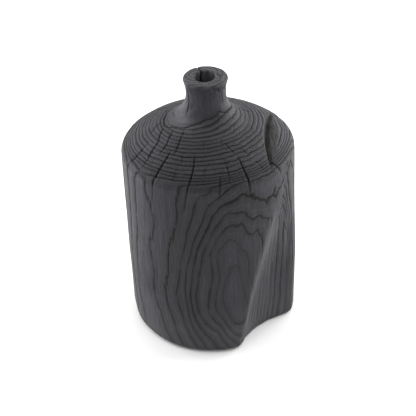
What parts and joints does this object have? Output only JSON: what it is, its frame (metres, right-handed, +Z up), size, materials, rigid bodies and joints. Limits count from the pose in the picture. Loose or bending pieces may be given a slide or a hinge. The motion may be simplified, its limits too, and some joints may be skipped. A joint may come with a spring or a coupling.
{
  "type": "bud vase",
  "caption": "Charred turned-wood bud vase with a domed shoulder, narrow flared neck, a natural hollow in its side and a lift-out glass water tube.",
  "frame": {"origin": "middle of the underside, on the surface that the vase stands on", "axes": "+Z up along the bore, -Y towards the front, +X towards the side with the natural hollow and the bark pocket"},
  "size_m": [0.106, 0.106, 0.17],
  "materials": {
    "charred_wood": "charred and brushed, matte",
    "bare_wood": "turned, unfinished",
    "tube_glass": "clear, fire-polished rim",
    "cork": "fine-grained sheet cork, matte"
  },
  "bodies": {
    "vase": {"vase_body": "charred_wood", "base_plug": "bare_wood", "cork_foot": "cork"},
    "tube": {"water_tube": "tube_glass"}
  },
  "joints": [
    {"name": "tube_lift", "type": "slide", "parent": "vase", "child": "tube", "axis": [0, 0, 1], "range_m": [0, 0.165]}
  ]
}
